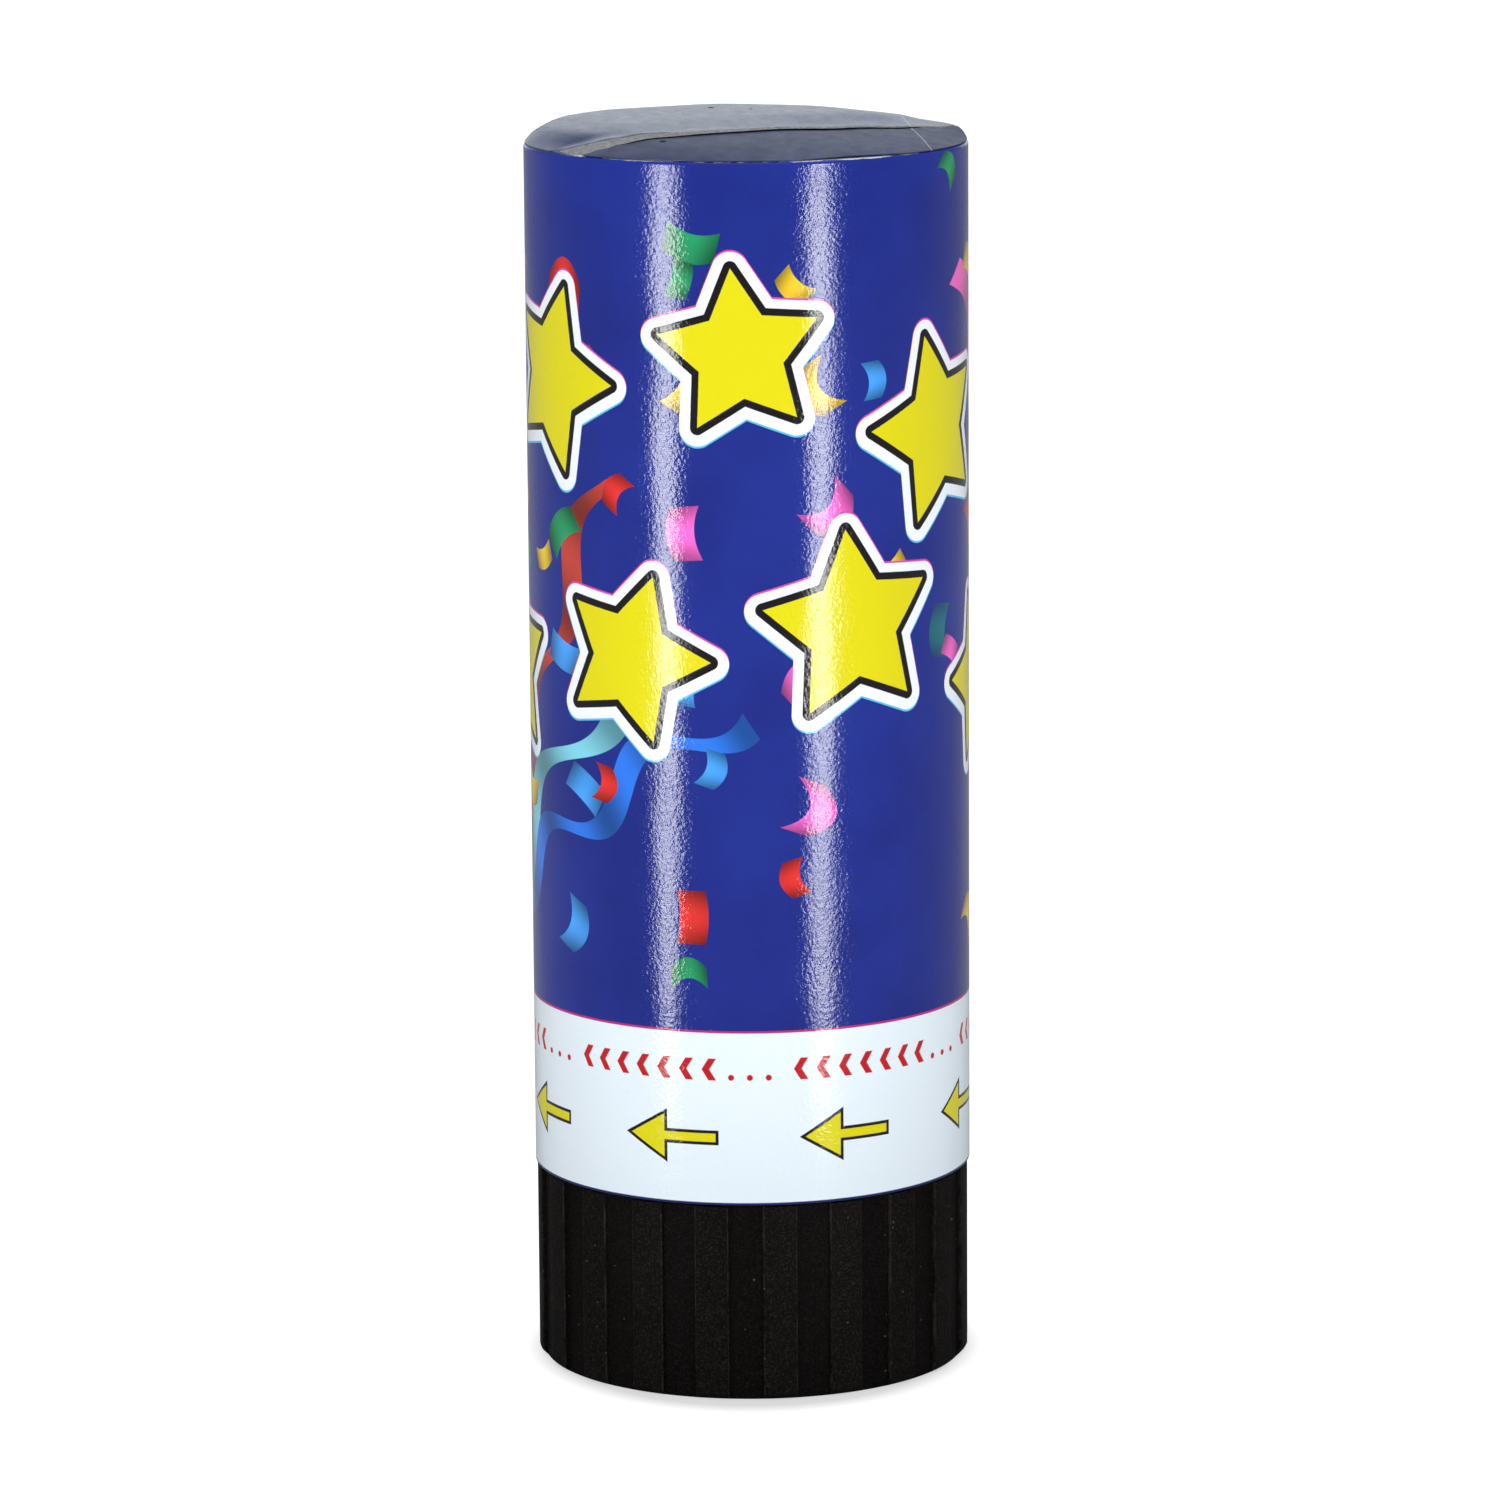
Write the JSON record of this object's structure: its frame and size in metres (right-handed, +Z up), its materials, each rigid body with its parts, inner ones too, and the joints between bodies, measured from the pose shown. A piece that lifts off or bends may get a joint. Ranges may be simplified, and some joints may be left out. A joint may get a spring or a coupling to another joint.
{
  "type": "confetti popper",
  "caption": "Hand-held confetti popper: a printed card barrel with folding lid flaps, on a ribbed twist base that lets a spring-driven piston throw the confetti out.",
  "frame": {"origin": "middle of the face that the base stands on", "axes": "+Z up the barrel to the lid, -Y the front as pictured, +X to the viewer's right"},
  "size_m": [0.038, 0.038, 0.1078],
  "materials": {
    "wrap_print": "glossy printed paper, blue with bright figures",
    "tube_card": "plain grey-brown spiral-wound card",
    "natural_plastic": "natural white moulded plastic",
    "black_plastic": "matt black moulded plastic, fine grain",
    "spring_steel": "drawn spring wire",
    "wad_card": "grey chipboard",
    "lid_card": "dark coated card with a pale core",
    "foil_red": "metallised film",
    "foil_gold": "metallised film",
    "foil_green": "metallised film",
    "foil_blue": "metallised film",
    "foil_pink": "metallised film"
  },
  "bodies": {
    "barrel": {"paper_tube": "tube_card", "printed_wrap": "wrap_print", "guide_collar": "natural_plastic", "launch_spring": "spring_steel"},
    "base": {"twist_cap": "black_plastic", "latch_core": "natural_plastic"},
    "pusher": {"piston_cup": "natural_plastic", "wad_disc": "wad_card"},
    "back_flap": {"lid_flap_back": "lid_card"},
    "front_flap": {"lid_flap_front": "lid_card"},
    "low_charge": {"confetti_low_red": "foil_red", "confetti_low_gold": "foil_gold", "confetti_low_green": "foil_green", "confetti_low_blue": "foil_blue", "confetti_low_pink": "foil_pink"},
    "mid_charge": {"confetti_mid_red": "foil_red", "confetti_mid_gold": "foil_gold", "confetti_mid_green": "foil_green", "confetti_mid_blue": "foil_blue", "confetti_mid_pink": "foil_pink"},
    "top_charge": {"confetti_top_red": "foil_red", "confetti_top_gold": "foil_gold", "confetti_top_green": "foil_green", "confetti_top_blue": "foil_blue", "confetti_top_pink": "foil_pink"}
  },
  "joints": [
    {"name": "base_twist", "type": "hinge", "parent": "barrel", "child": "base", "pos_m": [0, 0, 0.017], "axis": [0, 0, -1], "range_deg": [-90, 0]},
    {"name": "piston_slide", "type": "slide", "parent": "barrel", "child": "pusher", "axis": [0, 0, 1], "range_m": [0, 0.062], "deforming": ["launch_spring"]},
    {"name": "back_flap_fold", "type": "hinge", "parent": "barrel", "child": "back_flap", "pos_m": [-0.00934, 0.01643, 0.106], "axis": [-0.8695, -0.4939, 0], "range_deg": [0, 150]},
    {"name": "front_flap_fold", "type": "hinge", "parent": "barrel", "child": "front_flap", "pos_m": [0.00934, -0.01643, 0.106], "axis": [0.8695, 0.4939, 0], "range_deg": [0, 150]},
    {"name": "low_throw", "type": "slide", "parent": "barrel", "child": "low_charge", "axis": [0, 0, 1], "range_m": [0, 0.062]},
    {"name": "mid_throw", "type": "slide", "parent": "barrel", "child": "mid_charge", "axis": [0, 0, 1], "range_m": [0, 0.0806]},
    {"name": "top_throw", "type": "slide", "parent": "barrel", "child": "top_charge", "axis": [0, 0, 1], "range_m": [0, 0.0992]}
  ],
  "couplings": [
    {"joint": "back_flap_fold", "follows": "piston_slide", "rad_per_m": 42.226},
    {"joint": "front_flap_fold", "follows": "piston_slide", "rad_per_m": 42.226},
    {"joint": "low_throw", "follows": "piston_slide", "ratio": 1},
    {"joint": "mid_throw", "follows": "piston_slide", "ratio": 1.3},
    {"joint": "top_throw", "follows": "piston_slide", "ratio": 1.6}
  ]
}
